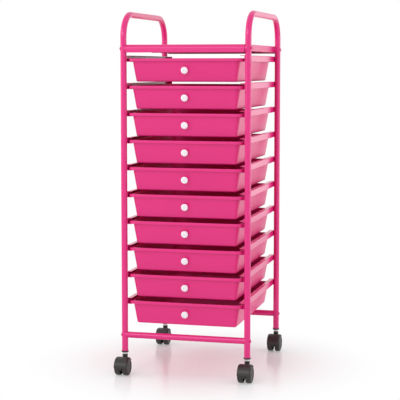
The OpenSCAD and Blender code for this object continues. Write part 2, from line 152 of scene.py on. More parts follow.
@dataclass(frozen=True)
class Finish:
    """A surface: its colour, gloss, fine relief and slow variation."""

    name: str
    slot: str
    colour: Colour
    shade: Colour
    roughness: float
    roughness_swing: float
    grain_scale: float
    grain_depth: float
    ripple_scale: float = 60.0
    ripple_depth: float = 0.0
    metallic: float = 0.0
    matt_gain: float = 0.0
    stretch: tuple[float, float, float] = (1.0, 1.0, 1.0)

    def material(self) -> bpy.types.Material:
        """Builds the finish's procedural material.

        Returns:
            The material.
        """
        desk = NodeDesk(bpy.data.materials.new(self.name))
        place = desk.add("TexCoord")
        stretch = desk.add("Mapping")
        stretch.inputs["Scale"].default_value = self.stretch
        desk.link(place.outputs["Object"], stretch.inputs["Vector"])
        slow = desk.add("TexNoise", **SLOW_NOISE)
        grain = desk.add("TexNoise", Scale=self.grain_scale, **GRAIN_NOISE)
        ripple = desk.add("TexNoise", Scale=self.ripple_scale, **RIPPLE_NOISE)
        desk.link(place.outputs["Object"], slow.inputs["Vector"])
        for noise in (grain, ripple):
            desk.link(stretch.outputs["Vector"], noise.inputs["Vector"])

        tone = desk.add("Mix", data_type="RGBA")
        tone.inputs["A"].default_value = (*self.colour, 1.0)
        tone.inputs["B"].default_value = (*self.shade, 1.0)
        desk.link(slow.outputs["Fac"], tone.inputs["Factor"])

        gloss = desk.add("MapRange")
        gloss.inputs["To Min"].default_value = self.roughness - self.roughness_swing
        gloss.inputs["To Max"].default_value = self.roughness + self.roughness_swing
        desk.link(slow.outputs["Fac"], gloss.inputs["Value"])
        matt = desk.add("Attribute", attribute_name=MATT)
        rough = desk.add("Math", operation="MULTIPLY_ADD")
        desk.link(matt.outputs["Fac"], rough.inputs[0])
        rough.inputs[1].default_value = self.matt_gain
        desk.link(gloss.outputs["Result"], rough.inputs[2])

        fine = desk.add("Bump", Strength=1.0, Distance=self.grain_depth)
        broad = desk.add("Bump", Strength=1.0, Distance=self.ripple_depth)
        desk.link(grain.outputs["Fac"], fine.inputs["Height"])
        desk.link(ripple.outputs["Fac"], broad.inputs["Height"])
        desk.link(fine.outputs["Normal"], broad.inputs["Normal"])

        shader = desk.add("BsdfPrincipled")
        shader.inputs["Metallic"].default_value = self.metallic
        desk.link(tone.outputs["Result"], shader.inputs["Base Color"])
        desk.link(rough.outputs["Value"], shader.inputs["Roughness"])
        desk.link(broad.outputs["Normal"], shader.inputs["Normal"])
        return desk.shade(shader)


class FinishRack:
    """The cart's finishes, each made into a material when it is first asked for."""

    PAINT: ClassVar[Finish] = Finish(
        "gloss_pink_paint", "frame_paint",
        colour=(0.80, 0.020, 0.225), shade=(0.76, 0.016, 0.205),
        roughness=0.20, roughness_swing=0.02, grain_scale=900.0, grain_depth=0.000004,
        ripple_scale=160.0, ripple_depth=0.000006)
    PINK: ClassVar[Finish] = Finish(
        "moulded_pink_plastic", "pink_plastic",
        colour=(0.80, 0.020, 0.225), shade=(0.76, 0.016, 0.205),
        roughness=0.34, roughness_swing=0.03, grain_scale=1500.0, grain_depth=0.000004,
        matt_gain=0.4)
    WHITE: ClassVar[Finish] = Finish(
        "moulded_white_plastic", "white_plastic",
        colour=(0.93, 0.88, 0.93), shade=(0.90, 0.85, 0.90),
        roughness=0.24, roughness_swing=0.04, grain_scale=2200.0, grain_depth=0.000008)
    ZINC: ClassVar[Finish] = Finish(
        "zinc_plate", "plated_steel",
        colour=(0.72, 0.72, 0.74), shade=(0.60, 0.60, 0.62),
        roughness=0.28, roughness_swing=0.08, grain_scale=1600.0, grain_depth=0.00001,
        ripple_scale=300.0, ripple_depth=0.00001, metallic=1.0, stretch=(1.0, 1.0, 6.0))
    DARK: ClassVar[Finish] = Finish(
        "dark_moulded_plastic", "dark_plastic",
        colour=(0.028, 0.024, 0.022), shade=(0.018, 0.015, 0.014),
        roughness=0.40, roughness_swing=0.06, grain_scale=1900.0, grain_depth=0.00002)
    WHEEL: ClassVar[Finish] = Finish(
        "dark_wheel_plastic", "wheel_plastic",
        colour=(0.032, 0.026, 0.025), shade=(0.020, 0.016, 0.016),
        roughness=0.46, roughness_swing=0.07, grain_scale=1700.0, grain_depth=0.00003)

    def __init__(self) -> None:
        """Starts with no material made."""
        self._made: dict[str, bpy.types.Material] = {}

    def get(self, finish: Finish) -> bpy.types.Material:
        """Returns the finish's material, making it once."""
        if finish.name not in self._made:
            self._made[finish.name] = finish.material()
        return self._made[finish.name]


# ---------------------------------------------------------------- shaping


class Ring(Protocol):
    """A closed outline with a fixed number of points."""

    def point(self, index: int, count: int) -> tuple[float, float]:
        """Returns one of the outline's points."""


@dataclass(frozen=True)
class Round:
    """A circle."""

    radius: float

    def point(self, index: int, count: int) -> tuple[float, float]:
        """Returns one of the outline's points."""
        turn = math.tau * index / count
        return self.radius * math.cos(turn), self.radius * math.sin(turn)


@dataclass(frozen=True)
class Hexagon:
    """A hexagon, given by the radius of its corners."""

    radius: float

    def point(self, index: int, count: int) -> tuple[float, float]:
        """Returns one of the outline's points."""
        turn = math.tau * index / count
        off = (turn + math.pi / 6) % (math.pi / 3) - math.pi / 6
        reach = self.radius * math.cos(math.pi / 6) / math.cos(math.pi / 6 - abs(off))
        return reach * math.cos(turn), reach * math.sin(turn)


@dataclass(frozen=True)
class SoftRect:
    """A rectangle with rounded corners."""

    half_w: float
    half_l: float
    corner_r: float

    def point(self, index: int, count: int) -> tuple[float, float]:
        """Returns one of the outline's points."""
        per_corner = count // 4
        corner, step = divmod(index, per_corner)
        turn = math.pi / 2 * (corner + step / (per_corner - 1))
        sign_x = 1 if corner in (0, 3) else -1
        sign_y = 1 if corner in (0, 1) else -1
        return (sign_x * (self.half_w - self.corner_r) + self.corner_r * math.cos(turn),
                sign_y * (self.half_l - self.corner_r) + self.corner_r * math.sin(turn))

    def inset(self, width: float) -> SoftRect:
        """Returns the outline drawn in by a width, its corner centres kept."""
        return SoftRect(self.half_w - width, self.half_l - width, self.corner_r - width)


def arc(centre: tuple[float, float], radius: float, start: float, end: float,
        steps: int = 6) -> list[tuple[float, float]]:
    """Returns points along a circular arc.

    Args:
        centre: the arc's centre.
        radius: its radius.
        start: the angle where it starts, in degrees.
        end: the angle where it ends.
        steps: how many steps it takes.

    Returns:
        The points, both ends included.
    """
    turns = [math.radians(start + (end - start) * step / steps) for step in range(steps + 1)]
    return [(centre[0] + radius * math.cos(turn), centre[1] + radius * math.sin(turn))
            for turn in turns]


class Shape:
    """A mesh under construction, in millimetres."""

    def __init__(self) -> None:
        """Starts empty."""
        self.bm = bmesh.new()

    def wire(self, points: Iterable[Point], closed: bool = False) -> list[BMEdge]:
        """Draws a run of edges.

        Args:
            points: its corners.
            closed: whether the last corner is joined to the first.

        Returns:
            The edges.
        """
        verts = [self.bm.verts.new(p) for p in points]
        ends = verts[1:] + verts[:1] if closed else verts[1:]
        return [self.bm.edges.new(pair) for pair in zip(verts, ends)]

    def face(self, points: Iterable[Point]) -> BMFace:
        """Adds one flat face with these corners."""
        return self.bm.faces.new([self.bm.verts.new(p) for p in points])

    def ring(self, radius: float, matrix: Matrix, count: int = 40) -> list[BMEdge]:
        """Adds an open circle.

        Args:
            radius: its radius.
            matrix: where it lies and which way it faces.
            count: how many points it has.

        Returns:
            Its edges.
        """
        made = bmesh.ops.create_circle(
            self.bm, cap_ends=False, segments=count, radius=radius, matrix=matrix)
        return list({edge for vert in made["verts"] for edge in vert.link_edges})

    def extrude(self, edges: list[BMEdge], way: Point) -> list[BMEdge]:
        """Draws edges out along a straight way.

        Args:
            edges: the edges to draw out.
            way: how far, along X, Y and Z.

        Returns:
            The edges at the far end.
        """
        made = bmesh.ops.extrude_edge_only(self.bm, edges=edges)["geom"]
        verts = {item for item in made if isinstance(item, BMVert)}
        bmesh.ops.translate(self.bm, verts=list(verts), vec=Vector(way))
        return [item for item in made
                if isinstance(item, BMEdge) and verts.issuperset(item.verts)]

    def turn(self, items: Sequence[BMEdge | BMFace], centre: Point, axis: Point,
             degrees: float, steps: int, is_full: bool = False) -> list[BMEdge]:
        """Draws edges or faces round an axis.

        Args:
            items: the edges or faces to draw round.
            centre: a point of the axis.
            axis: the axis's direction.
            degrees: how far round.
            steps: how many steps it takes.
            is_full: whether it is a full turn, whose end joins its start.

        Returns:
            The edges at the far end.
        """
        verts = list({vert for item in items for vert in item.verts})
        made = bmesh.ops.spin(
            self.bm, geom=[*verts, *items], cent=Vector(centre), axis=Vector(axis),
            dvec=Vector(), angle=math.radians(degrees), steps=steps, use_merge=is_full,
            use_normal_flip=False, use_duplicate=False)["geom_last"]
        return [item for item in made if isinstance(item, BMEdge)]

    def prism(self, points: Iterable[Point], way: Point) -> list[BMFace]:
        """Adds a solid by drawing a flat face out along a straight way.

        Args:
            points: the face's corners.
            way: how far it is drawn.

        Returns:
            The solid's faces.
        """
        base = self.face(points)
        made = bmesh.ops.extrude_face_region(
            self.bm, geom=[base], use_keep_orig=True)["geom"]
        verts = [item for item in made if isinstance(item, BMVert)]
        bmesh.ops.translate(self.bm, verts=verts, vec=Vector(way))
        faces = [item for item in made if isinstance(item, BMFace)]
        return list({face for vert in verts for face in vert.link_faces} | {base, *faces})

    def block(self, low: Point, high: Point) -> list[BMVert]:
        """Adds a block between two corners and returns its vertices."""
        size = Vector(high) - Vector(low)
        place = Matrix.Translation((Vector(high) + Vector(low)) / 2)
        return bmesh.ops.create_cube(
            self.bm, size=1.0, matrix=place @ Matrix.Diagonal((*size, 1.0)))["verts"]

    def lathe(self, profile: Sequence[tuple[float, float]], steps: int = 48,
              place: Matrix | None = None) -> None:
        """Turns a profile round the Z axis into a closed shape.

        Args:
            profile: (radius, height) points, from one pole to the other.
            steps: how many steps make the full turn.
            place: where the turned shape goes.
        """
        before = set(self.bm.verts)
        edges = self.wire([(radius, 0.0, height) for radius, height in profile])
        self.turn(edges, (0, 0, 0), (0, 0, 1), 360, steps, is_full=True)
        made = [vert for vert in self.bm.verts if vert not in before]
        bmesh.ops.remove_doubles(self.bm, verts=made, dist=MERGE)
        if place is not None:
            made = [vert for vert in self.bm.verts if vert not in before]
            bmesh.ops.transform(self.bm, matrix=place, verts=made)

    def pick(self, test: Callable[[Vector], bool]) -> list[BMEdge]:
        """Returns the edges whose both ends pass a test."""
        return [edge for edge in self.bm.edges if all(test(v.co) for v in edge.verts)]

    def soften(self, edges: list[BMEdge], width: float, segments: int = 3) -> None:
        """Rounds edges.

        Args:
            edges: the edges to round.
            width: how far the rounding reaches from each edge.
            segments: how many strips make it.
        """
        bmesh.ops.bevel(
            self.bm, geom=edges, offset=width, offset_type="OFFSET", affect="EDGES",
            segments=segments, profile=0.5, material=-1, clamp_overlap=False)

    def thicken(self, faces: list[BMFace], wall: float) -> None:
        """Gives a sheet of faces a wall.

        Args:
            faces: the sheet.
            wall: the wall's thickness, inwards from the sheet's outer side.
        """
        bmesh.ops.solidify(self.bm, geom=faces, thickness=wall)

    def mark_matt(self, test: Callable[[BMFace], bool]) -> None:
        """Marks the faces that pass a test as matt."""
        layer = self.bm.faces.layers.float.new(MATT)
        for face in self.bm.faces:
            face[layer] = float(test(face))

    def close_up(self) -> None:
        """Merges doubled points and turns every face outwards."""
        bmesh.ops.remove_doubles(self.bm, verts=self.bm.verts[:], dist=MERGE)
        bmesh.ops.recalc_face_normals(self.bm, faces=self.bm.faces[:])

    def cut(self, point: Point, way: Point) -> None:
        """Cuts away what lies past a plane and closes the cut.

        Args:
            point: a point of the plane.
            way: the direction of the side that is cut away.
        """
        made = bmesh.ops.bisect_plane(
            self.bm, geom=self.bm.verts[:] + self.bm.edges[:] + self.bm.faces[:],
            plane_co=Vector(point), plane_no=Vector(way), clear_outer=True)
        edges = [item for item in made["geom_cut"] if isinstance(item, BMEdge)]
        bmesh.ops.contextual_create(self.bm, geom=edges)

    def add(self, part: Shape) -> None:
        """Takes in another shape, which is used up."""
        part.close_up()
        mesh = bpy.data.meshes.new("part")
        part.bm.to_mesh(mesh)
        part.bm.free()
        self.bm.from_mesh(mesh)
        bpy.data.meshes.remove(mesh)


class Loft(Shape):
    """A shape drawn through one ring after another."""

    def __init__(self, count: int) -> None:
        """Starts empty.

        Args:
            count: how many points each ring has.
        """
        super().__init__()
        self.count = count
        self.order = self.bm.verts.layers.int.new("order")

    def _fit(self, verts: Iterable[BMVert], ring: Ring, height: float) -> None:
        """Moves a ring's vertices on to an outline at a height."""
        for vert in verts:
            x, y = ring.point(vert[self.order], self.count)
            vert.co = Vector((x, y, height))

    def through(self, stations: Sequence[tuple[Ring, float]]) -> None:
        """Draws a closed shape through rings and caps both ends.

        Args:
            stations: each ring and its height, in order along the surface.
        """
        made = bmesh.ops.create_circle(
            self.bm, cap_ends=True, segments=self.count, radius=1.0)
        self.bm.verts.ensure_lookup_table()
        for index, vert in enumerate(made["verts"]):
            vert[self.order] = index
        self._fit(made["verts"], *stations[0])
        edges = list({edge for vert in made["verts"] for edge in vert.link_edges})
        verts = made["verts"]
        for ring, height in stations[1:]:
            edges = self.extrude(edges, (0, 0, 0))
            verts = list({vert for edge in edges for vert in edge.verts})
            self._fit(verts, ring, height)
        bmesh.ops.contextual_create(self.bm, geom=edges)


@dataclass
class Workshop:
    """Turns shapes into finished pieces of the cart."""

    rack: FinishRack = field(default_factory=FinishRack)

    def piece(self, name: str, shape: Shape, finish: Finish, body: str,
              nodes: Sequence[str], smooth_below: float = 35.0) -> bpy.types.Object:
        """Makes a shape into a piece that rides on a body and stands for CAD nodes.

        Args:
            name: the piece's name.
            shape: its shape, in millimetres, where it lies in the frame.
            finish: its surface.
            body: the CAD body that it rides on.
            nodes: the CAD nodes that it replaces.
            smooth_below: edges that turn less than this, in degrees, are shaded smooth.

        Returns:
            The piece's object.
        """
        shape.close_up()
        bmesh.ops.scale(shape.bm, vec=Vector((MM, MM, MM)), verts=shape.bm.verts[:])
        mesh = bpy.data.meshes.new(name)
        shape.bm.to_mesh(mesh)
        shape.bm.free()
        mesh.shade_smooth()
        mesh.set_sharp_from_angle(angle=math.radians(smooth_below))
        obj = bpy.data.objects.new(name, mesh)
        bpy.context.scene.collection.objects.link(obj)
        mesh.materials.append(self.rack.get(finish))
        weighted = obj.modifiers.new("even_shading", "WEIGHTED_NORMAL")
        weighted.keep_sharp = True
        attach(obj, body)
        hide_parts(*nodes)
        log.info("piece %s: %d faces on %s", name, len(mesh.polygons), body)
        return obj

    def dress(self, node: str, finish: Finish) -> None:
        """Gives a CAD node that stays a finish."""
        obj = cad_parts[node]
        obj.data.materials.clear()
        obj.data.materials.append(self.rack.get(finish))
        log.info("node %s: %s", node, finish.name)


# ---------------------------------------------------------------- the cart


@dataclass(frozen=True)
class Layout:
    """The sizes that several sub-assemblies share, in millimetres."""

    tube_r: float = 8.0
    tube_wall: float = 1.2
    leg_x: float = 162.0
    mid_y: float = 18.5
    half_span_y: float = 187.0
    foot_z: float = 60.0
    hoop_z: float = 925.0
    bend_r: float = 60.0
    low_rail_z: float = 102.0
    top_rail_z: float = 838.0
    pitch: float = 69.0
    drawer_count: int = 10

    @property
    def inner_x(self) -> float:
        """Distance of the legs' inner faces from the middle."""
        return self.leg_x - self.tube_r

    def leg(self, corner: Corner) -> tuple[float, float]:
        """Returns a leg's place, seen from above."""
        side, is_back = corner.value
        return side.value * self.leg_x, self.leg_y(is_back)

    def leg_y(self, is_back: bool) -> float:
        """Returns the place of the front or back legs."""
        return self.mid_y + (self.half_span_y if is_back else -self.half_span_y)


@dataclass
class TubeFrame:
    """The two bent side frames and the four cross rails."""

    layout: Layout
    shop: Workshop
    bend_steps: int = 14
    saddle_gap: float = 0.1

    def build(self) -> None:
        """Makes the side frames and rails."""
        for side in Side:
            self.side_frame(side)
        for name, is_back, height in (
                ("top_front_rail", False, self.layout.top_rail_z),
                ("top_back_rail", True, self.layout.top_rail_z),
                ("low_front_rail", False, self.layout.low_rail_z),
                ("low_back_rail", True, self.layout.low_rail_z)):
            self.rail(name, self.layout.leg_y(is_back), height)

    def side_frame(self, side: Side) -> None:
        """Bends one tube up the front leg, over the hoop and down the back leg."""
        lay = self.layout
        x = side.value * lay.leg_x
        front, back = lay.leg_y(False), lay.leg_y(True)
        spring_z = lay.hoop_z - lay.bend_r
        shape = Shape()
        edges = shape.ring(lay.tube_r, Matrix.Translation((x, front, lay.foot_z)))
        edges = shape.extrude(edges, (0, 0, spring_z - lay.foot_z))
        edges = shape.turn(edges, (x, front + lay.bend_r, spring_z), (1, 0, 0), -90,
                           self.bend_steps)
        edges = shape.extrude(edges, (0, back - front - 2 * lay.bend_r, 0))
        edges = shape.turn(edges, (x, back - lay.bend_r, spring_z), (1, 0, 0), -90,
                           self.bend_steps)
        shape.extrude(edges, (0, 0, lay.foot_z - spring_z))
        bmesh.ops.recalc_face_normals(shape.bm, faces=shape.bm.faces[:])
        shape.thicken(shape.bm.faces[:], lay.tube_wall)
        name = f"{side.word}_side_frame"
        self.shop.piece(f"{side.word}_hoop_tube", shape, FinishRack.PAINT, "frame", [name])

    def rail(self, name: str, y: float, height: float) -> None:
        """Makes a rail with ends cut to saddle the legs.

        Args:
            name: the rail's CAD node.
            y: the rail's place from front to back.
            height: the rail's height.
        """
        lay = self.layout
        shape = Shape()
        start = Matrix.Translation((-lay.leg_x, y, height)) @ Matrix.Rotation(
            math.pi / 2, 4, "Y")
        edges = shape.ring(lay.tube_r, start)
        shape.extrude(edges, (2 * lay.leg_x, 0, 0))
        bmesh.ops.recalc_face_normals(shape.bm, faces=shape.bm.faces[:])
        shape.thicken(shape.bm.faces[:], lay.tube_wall)
        for vert in shape.bm.verts:
            across = min(abs(vert.co.y - y), lay.tube_r)
            reach = math.sqrt((lay.tube_r + self.saddle_gap) ** 2 - across ** 2)
            vert.co.x = math.copysign(lay.leg_x - reach, vert.co.x)
        self.shop.piece(f"{name}_tube", shape, FinishRack.PAINT, "frame", [name])


@dataclass
class RailBolts:
    """Button-head bolts through the legs into the rails."""

    layout: Layout
    shop: Workshop
    bolt_r: float = 3.0
    bolt_l: float = 32.0
    head_r: float = 5.25
    head_h: float = 2.2
    head_points: int = 24
    dome_steps: int = 5
    socket_r: float = 2.25
    socket_taper: float = 0.98
    socket_rim: float = 1.12
    socket_rim_drop: float = 0.25

    def build(self) -> None:
        """Makes the eight bolts as one piece."""
        shape = Shape()
        lay = self.layout
        for side in Side:
            for is_back in (False, True):
                for height in (lay.low_rail_z, lay.top_rail_z):
                    place = Matrix.Translation(
                        (side.value * (lay.leg_x + lay.tube_r), lay.leg_y(is_back), height))
                    self.bolt(shape, place @ Matrix.Rotation(
                        side.value * math.pi / 2, 4, "Y"))
        self.shop.piece("button_head_bolts", shape, FinishRack.PAINT, "frame",
                        ["frame_bolts"])

    def bolt(self, shape: Shape, place: Matrix) -> None:
        """Adds one bolt.

        Args:
            shape: the shape that it joins.
            place: its place, with its head along +Z.
        """
        dome_r = (self.head_r ** 2 + self.head_h ** 2) / (2 * self.head_h)
        rim_r = self.socket_r * self.socket_rim
        loft = Loft(self.head_points)
        stations: list[tuple[Ring, float]] = [
            (Hexagon(self.socket_r * self.socket_taper), self.head_h / 3),
            (Hexagon(self.socket_r), self.head_h - self.socket_rim_drop)]
        for step in range(self.dome_steps + 1):
            radius = rim_r + (self.head_r - rim_r) * step / self.dome_steps
            stations.append(
                (Round(radius), math.sqrt(dome_r ** 2 - radius ** 2) + self.head_h - dome_r))
        stations += [(Round(self.bolt_r), 0.0), (Round(self.bolt_r), -self.bolt_l)]
        loft.through(stations)
        bmesh.ops.transform(loft.bm, matrix=place, verts=loft.bm.verts[:])
        shape.add(loft)


@dataclass
class Runners:
    """The channel runners, ten on each side."""

    layout: Layout
    shop: Workshop
    height: float = 16.0
    width: float = 12.0
    sheet: float = 1.2
    bend_r: float = 2.0
    first_z: float = 804.5
    front_y: float = -171.5
    stop_y: float = 211.5
    stop_inset: float = 0.05

    def build(self) -> None:
        """Makes each side's runners as one piece."""
        for side in Side:
            shape = Shape()
            for count in range(self.layout.drawer_count):
                self.channel(shape, side, self.first_z - count * self.layout.pitch)
            self.shop.piece(f"{side.word}_channel_runners", shape, FinishRack.PAINT,
                            "frame", [f"{side.word}_runners"])

    def bends(self, inset: float) -> list[tuple[float, float]]:
        """Returns the outer line of a channel's web and bends, from its foot up.

        Args:
            inset: how far inside the channel's skin the line runs.

        Returns:
            Points (distance inwards from the web, height).
        """
        radius = self.bend_r - inset
        return [*arc((self.bend_r, self.bend_r), radius, 270, 180, 5),
                *arc((self.bend_r, self.height - self.bend_r), radius, 180, 90, 5)]

    def channel(self, shape: Shape, side: Side, z: float) -> None:
        """Adds one channel, and the stop that closes its back end.

        Args:
            shape: the shape that they join.
            side: the side that they are on.
            z: the height of the channel's underside.
        """
        low, high = self.stop_inset, self.height - self.stop_inset
        section = [(self.width, 0.0), *self.bends(0.0), (self.width, self.height),
                   (self.width, self.height - self.sheet),
                   *reversed(self.bends(self.sheet)), (self.width, self.sheet)]
        stop = [(self.width - self.stop_inset, low), *self.bends(self.stop_inset),
                (self.width - self.stop_inset, high)]
        for outline, start, end in (
                (section, self.front_y, self.stop_y),
                (stop, self.stop_y - self.stop_inset, self.stop_y + self.sheet)):
            part = Shape()
            part.prism([(side.value * (self.layout.inner_x - inwards), start, z + up)
                        for inwards, up in outline], (0, end - start, 0))
            shape.add(part)


@dataclass
class TopTray:
    """The moulded tray that clips over the upper rails."""

    layout: Layout
    shop: Workshop
    wall: float = 1.8
    play: float = 0.2
    hook_drop: float = 10.0
    recess: float = 14.0
    side_rim: float = 10.0
    side_skirt: float = 16.5
    side_play: float = 0.4
    side_edge_r: float = 1.2
    rib_h: float = 3.0
    rib_t: float = 1.5
    skirt_inset: float = 0.05
    bend_steps: int = 20

    @property
    def roll_r(self) -> float:
        """Outer radius of the rolled edge."""
        return self.layout.tube_r + self.play + self.wall

    @property
    def top_z(self) -> float:
        """Height of the tray's top."""
        return self.layout.top_rail_z + self.roll_r

    def build(self) -> None:
        """Makes the tray."""
        lay = self.layout
        half_w = lay.inner_x - self.side_play
        floor_z = self.top_z - self.recess - self.wall
        well = lay.half_span_y - self.roll_r
        shape = Shape()
        for flip in (-1, 1):
            self.rolled_edge(shape, flip, half_w, floor_z)
        for side in Side:
            self.side_edge(shape, side, half_w)
        inner = half_w - self.side_rim
        shape.block((-inner - self.wall / 2, lay.mid_y - well - self.wall / 2, floor_z),
                    (inner + self.wall / 2, lay.mid_y + well + self.wall / 2,
                     floor_z + self.wall))
        for step in (-1, 0, 1):
            y = lay.mid_y + step * well / 2
            shape.block((-inner, y - self.rib_t / 2, floor_z - self.rib_h),
                        (inner, y + self.rib_t / 2, floor_z))
        self.shop.piece("top_tray_moulding", shape, FinishRack.PINK, "frame", ["top_tray"])

    def rolled_edge(self, shape: Shape, flip: int, half_w: float, floor_z: float) -> None:
        """Adds the edge that hooks over a rail.

        Args:
            shape: the shape that it joins.
            flip: -1 for the front edge and 1 for the back edge.
            half_w: half of the tray's width.
            floor_z: height of the underside of the tray's floor.
        """
        lay = self.layout
        part = Shape()
        y = lay.mid_y + flip * lay.half_span_y
        outside = y + flip * self.roll_r
        edges = part.wire([(-half_w, outside, lay.top_rail_z - self.hook_drop),
                           (half_w, outside, lay.top_rail_z - self.hook_drop)])
        edges = part.extrude(edges, (0, 0, self.hook_drop))
        edges = part.turn(edges, (0, y, lay.top_rail_z), (1, 0, 0), flip * 180,
                          self.bend_steps)
        part.extrude(edges, (0, 0, floor_z - lay.top_rail_z))
        axis = Vector((0, y, lay.top_rail_z))
        for face in part.bm.faces:
            face.normal_update()
            middle = face.calc_center_median() - axis
            if face.normal.yz.dot(middle.yz) < 0:
                face.normal_flip()
        part.thicken(part.bm.faces[:], self.wall)
        shape.add(part)

    def side_edge(self, shape: Shape, side: Side, half_w: float) -> None:
        """Adds the rim along one side, with a skirt under each of its edges.

        Args:
            shape: the shape that it joins.
            side: the side that it is on.
            half_w: half of the tray's width.
        """
        lay = self.layout
        outer = side.value * half_w
        inner = side.value * (half_w - self.side_rim)
        front, back = lay.leg_y(False), lay.leg_y(True)
        part = Shape()
        part.block((min(outer, inner), front, self.top_z - self.wall),
                   (max(outer, inner), back, self.top_z))
        part.soften([e for e in part.bm.edges
                     if abs(e.verts[0].co.y - e.verts[1].co.y) > TOUCH
                     and all(abs(v.co.z - self.top_z) < TOUCH for v in e.verts)],
                    self.side_edge_r)
        shape.add(part)
        bore_r = lay.tube_r + self.play
        low = self.top_z - self.side_skirt
        high = self.top_z - self.wall / 2
        outline = [(front, high), *arc((front, lay.top_rail_z), bore_r, 90, 0),
                   (front + bore_r, low), (back - bore_r, low),
                   *arc((back, lay.top_rail_z), bore_r, 180, 90), (back, high)]
        step = side.value * (self.wall - 2 * self.skirt_inset)
        for x in (outer - side.value * (self.wall - self.skirt_inset),
                  inner + side.value * self.skirt_inset):
            skirt = Shape()
            skirt.prism([(x, y, z) for y, z in outline], (step, 0, 0))
            shape.add(skirt)


@dataclass
class Drawer:
    """One pull-out drawer with its knob. Drawers are counted from the top."""

    layout: Layout
    shop: Workshop
    number: int
    height: float = 59.0
    rim: SoftRect = SoftRect(151.0, 194.0, 20.0)
    tub: SoftRect = SoftRect(142.0, 189.5, 16.435)
    draft: float = 10.5
    wall: float = 2.0
    lip_t: float = 2.0
    lip_h: float = 7.5
    floor_r: float = 4.0
    middle_y: float = 17.0
    first_z: float = 754.5
    corner_points: int = 9
    fold_reach: float = 0.85
    shoulder_reach: float = 0.95
    knob_z: float = 30.5
    knob_profile: tuple[tuple[float, float], ...] = (
        (0.0, 0.0), (6.0, 0.0), (6.0, 1.0), (5.6, 1.6), (4.8, 2.3), (4.5, 3.2), (4.5, 4.6),
        (5.2, 5.9), (6.8, 7.2), (8.42, 7.9), (8.85, 8.7), (9.0, 9.5), (8.85, 10.35),
        (8.3, 11.2), (7.36, 11.85), (5.8, 12.4), (4.0, 12.8), (2.5, 13.0), (2.2, 12.8),
        (2.0, 12.3), (1.8, 11.4), (1.2, 10.9), (0.0, 10.8))

    @property
    def body(self) -> str:
        """The CAD body that the drawer is."""
        return f"drawer_{self.number:02d}_body"

    @property
    def place(self) -> Matrix:
        """The drawer's place in the cart."""
        z = self.first_z - (self.number - 1) * self.layout.pitch
        return Matrix.Translation((0, self.middle_y, z))

    def build(self) -> None:
        """Makes the drawer and its knob."""
        self.moulding()
        self.knob()
        self.shop.dress(f"knob_screw_{self.number:02d}", FinishRack.ZINC)

    def moulding(self) -> None:
        """Makes the tub with its flange and turned-down lip."""
        lean = math.tan(math.radians(self.draft))
        wall = self.wall / math.cos(math.radians(self.draft))
        under = self.height - self.lip_t
        lip_z = self.height - self.lip_h
        inner_rim = self.rim.inset(self.lip_t)
        stations: list[tuple[Ring, float]] = [
            (self.tub.inset(self.height * lean), 0.0),
            (self.tub.inset(self.lip_t * lean), under),
            (inner_rim, under),
            (inner_rim, lip_z),
            (self.rim, lip_z),
            (self.rim, self.height),
            (self.tub.inset(wall), self.height),
            (self.tub.inset(wall + (self.height - self.wall) * lean), self.wall)]
        loft = Loft(4 * self.corner_points)
        loft.through(stations)
        for station, width, segments in (
                (0, self.floor_r * self.fold_reach, 5),  # the floor's edge, outside
                (7, (self.floor_r - 1.0) * self.fold_reach, 4),  # and inside
                (5, self.lip_t * self.shoulder_reach, 4),  # the lip's shoulder
                (6, 0.6, 2),  # the tub's mouth
                (4, 0.5, 2), (3, 0.5, 2),  # the lip's foot
                (1, 0.8, 2), (2, 0.6, 2)):  # the corners under the flange
            loft.soften(self.ring_edges(loft, *stations[station]), width, segments)
        loft.close_up()
        loft.mark_matt(self.is_inside)
        bmesh.ops.transform(loft.bm, matrix=self.place, verts=loft.bm.verts[:])
        name = f"drawer_{self.number:02d}"
        self.shop.piece(f"{name}_moulding", loft, FinishRack.PINK, self.body, [name], 50.0)

    def is_inside(self, face: BMFace) -> bool:
        """Tells whether a face looks into the tub."""
        middle = face.calc_center_median()
        looks_in = face.normal.xy.dot(middle.xy) < -TOUCH
        is_floor = face.normal.z > 0.5 and middle.z < self.height / 2
        return looks_in or is_floor

    def ring_edges(self, loft: Loft, ring: Ring, height: float) -> list[BMEdge]:
        """Returns the edges of one ring of a loft, found by where they lie."""
        spots = [Vector((*ring.point(i, loft.count), height)) for i in range(loft.count)]

        def lies_on(co: Vector) -> bool:
            return abs(co.z - height) < TOUCH and any(
                (co - spot).length < TOUCH for spot in spots)

        return loft.pick(lies_on)

    def knob(self) -> None:
        """Makes the turned knob on the leaning front face."""
        lean = math.radians(self.draft)
        face_y = -self.tub.half_l + (self.height - self.knob_z) * math.tan(lean)
        place = (self.place @ Matrix.Translation((0, face_y, self.knob_z))
                 @ Matrix.Rotation(math.pi / 2 + lean, 4, "X"))
        shape = Shape()
        shape.lathe(self.knob_profile, place=place)
        name = f"knob_{self.number:02d}"
        self.shop.piece(f"{name}_turned", shape, FinishRack.WHITE, self.body, [name], 60.0)


